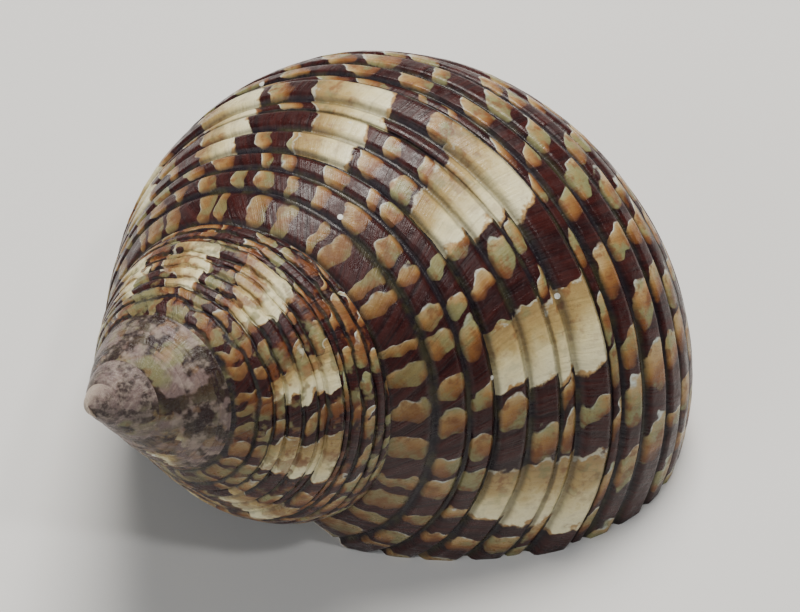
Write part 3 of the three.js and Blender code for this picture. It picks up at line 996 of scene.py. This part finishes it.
def nacre_material():
    """The inside: a pearly coat, white with faint pink and green clouds."""
    material, tree, shader = new_material("shell_nacre")
    place = add_node(tree, "ShaderNodeTexCoord").outputs["Object"]
    clouds = noise(tree, place, 160.0, 3.0, 0.5)
    veil = noise(tree, place, 320.0, 2.0, 0.5)
    color = mixed(tree, between(tree, clouds, 0.35, 0.65), NACRE_WHITE, NACRE_GREEN)
    color = mixed(tree, between(tree, veil, 0.50, 0.75, 0.0, 0.6), color, NACRE_PINK)
    tree.links.new(color, shader.inputs["Base Color"])
    shader.inputs["Roughness"].default_value = 0.18
    shader.inputs["Coat Weight"].default_value = 0.6
    shader.inputs["Coat Roughness"].default_value = 0.08
    add_relief(tree, shader, veil, 0.25, 0.0002)
    return material


def pillar_material():
    """The pillar: the same smooth white coat, thick and a little glossy."""
    material, tree, shader = new_material("shell_pillar")
    place = add_node(tree, "ShaderNodeTexCoord").outputs["Object"]
    tree.links.new(callus_color(tree, place), shader.inputs["Base Color"])
    shader.inputs["Roughness"].default_value = 0.30
    add_relief(tree, shader, noise(tree, place, 520.0, 3.0, 0.5), 0.35, 0.0004)
    return material


# The edge of the lip: how far in from the outside each point lies, in millimetres, colours it
OUTER_DEPTH = "outer_depth"
OUTER_LAYER_MM = (0.55, 0.35)
RIM_CUTS = 4
RIM_WHITE = srgb(224, 218, 206)
RIM_CREAM = srgb(206, 204, 186)


def rim_material():
    """Pearly white, with the brown and green of the outer layer along the outer side."""
    material, tree, shader = new_material("shell_rim")
    place = add_node(tree, "ShaderNodeTexCoord").outputs["Object"]
    mottle = noise(tree, place, 700.0, 4.0, 0.6)
    depth = add_node(tree, "ShaderNodeAttribute", attribute_name=OUTER_DEPTH).outputs["Fac"]
    depth = calculate(tree, "MULTIPLY_ADD", around_zero(tree, mottle), 1.2, depth)
    layer = mixed(tree, between(tree, mottle, 0.45, 0.58), MAROON, MARK_GREEN)
    pearl = mixed(tree, between(tree, mottle, 0.40, 0.65), RIM_WHITE, RIM_CREAM)
    color = mixed(tree, between(tree, depth, *OUTER_LAYER_MM), pearl, layer)
    tree.links.new(color, shader.inputs["Base Color"])
    shader.inputs["Roughness"].default_value = 0.35
    add_relief(tree, shader, mottle, 0.4, 0.0002)
    return material


# Shell, put together: the skin is joined to the pillar, the hollow and the plane of the aperture are cut
# away, and the one closed piece that is left takes the place of the solid it stands for.
GROUND_BLOCK = 0.2
SHARP_EDGE = math.radians(50)
SURFACES = [outside_material(), nacre_material(), rim_material(), pillar_material()]
OUTSIDE, NACRE, RIM, PILLAR = range(4)
winding = winding_tree()


def wound_piece(unwound, surface):
    """Winds an unwound mesh on the spiral and leaves it a plain mesh of one surface."""
    modifier = unwound.modifiers.new("wind", "NODES")
    modifier.node_group = winding
    sockets = {item.name: item.identifier for item in winding.interface.items_tree if item.in_out == "INPUT"}
    modifier[sockets["Apex place"]] = APEX_PLACE
    modifier[sockets["Surface"]] = SURFACES[surface]
    mesh = finished_mesh(unwound, unwound.name)
    unwound.modifiers.remove(modifier)
    unwound.data = mesh
    return one_surface(unwound, surface)


def one_surface(piece, surface):
    """Gives a cutter or a part of the shell its surface among all of the shell's surfaces."""
    mesh = piece.data
    mesh.materials.clear()
    for material in SURFACES:
        mesh.materials.append(material)
    mesh.polygons.foreach_set("material_index", np.full(len(mesh.polygons), surface, np.int32))
    facing_out(mesh)
    return piece


def laid_pillar():
    """The upright pillar, leant with the axis and brought to metres."""
    lathe = pillar()
    lean = Euler((0, 0, AXIS_HEADING)).to_matrix() @ Euler((0, -AXIS_LEAN, 0)).to_matrix()
    for vertex in lathe.data.vertices:
        vertex.co = (lean @ vertex.co + Vector(APEX_PLACE)) / MM_PER_METRE
    return one_surface(lathe, PILLAR)


def ground_cutter():
    """A block under the plane that the shell rests on."""
    mesh = bmesh.new()
    bmesh.ops.create_cube(mesh, size=GROUND_BLOCK)
    bmesh.ops.translate(mesh, verts=mesh.verts, vec=(0, 0, -GROUND_BLOCK / 2))
    return one_surface(new_piece("ground_cutter", mesh), RIM)


def measure_rim(mesh):
    """Splits the rim's faces and writes each point's depth from the outside."""
    work = bmesh.new()
    work.from_mesh(mesh)
    bmesh.ops.triangulate(work, faces=[f for f in work.faces if f.material_index == RIM])
    across = [e for e in work.edges if e.link_faces and all(f.material_index == RIM for f in e.link_faces)]
    bmesh.ops.subdivide_edges(work, edges=across, cuts=RIM_CUTS, use_grid_fill=True)
    bmesh.ops.triangulate(work, faces=[f for f in work.faces if f.material_index == RIM])
    depth = work.verts.layers.float.new(OUTER_DEPTH)
    rim_points = [v for v in work.verts if any(f.material_index == RIM for f in v.link_faces)]
    outer_points = [v for v in rim_points if any(f.material_index == OUTSIDE for f in v.link_faces)]
    tree = kdtree.KDTree(len(outer_points))
    for count, point in enumerate(outer_points):
        tree.insert(point.co, count)
    tree.balance()
    for point in rim_points:
        point[depth] = MM_PER_METRE * tree.find(point.co)[2]
    work.to_mesh(mesh)
    work.free()


shell = wound_piece(outer_skin(), OUTSIDE)
parts = [
    (laid_pillar(), "UNION"),
    (wound_piece(hollow(), NACRE), "DIFFERENCE"),
    (ground_cutter(), "DIFFERENCE"),
]
for part, operation in parts:
    cut = shell.modifiers.new(part.name, "BOOLEAN")
    cut.operation = operation
    cut.solver = "MANIFOLD"
    cut.object = part
whole = finished_mesh(shell, "turban_shell")
shell.modifiers.clear()
shell.data = whole
shell.name = "turban_shell"
for part, _ in parts:
    bpy.data.objects.remove(part)
lay_marks_map(whole)
measure_rim(whole)
whole.shade_smooth()
whole.set_sharp_from_angle(angle=SHARP_EDGE)

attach(shell, "root")
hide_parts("shell")
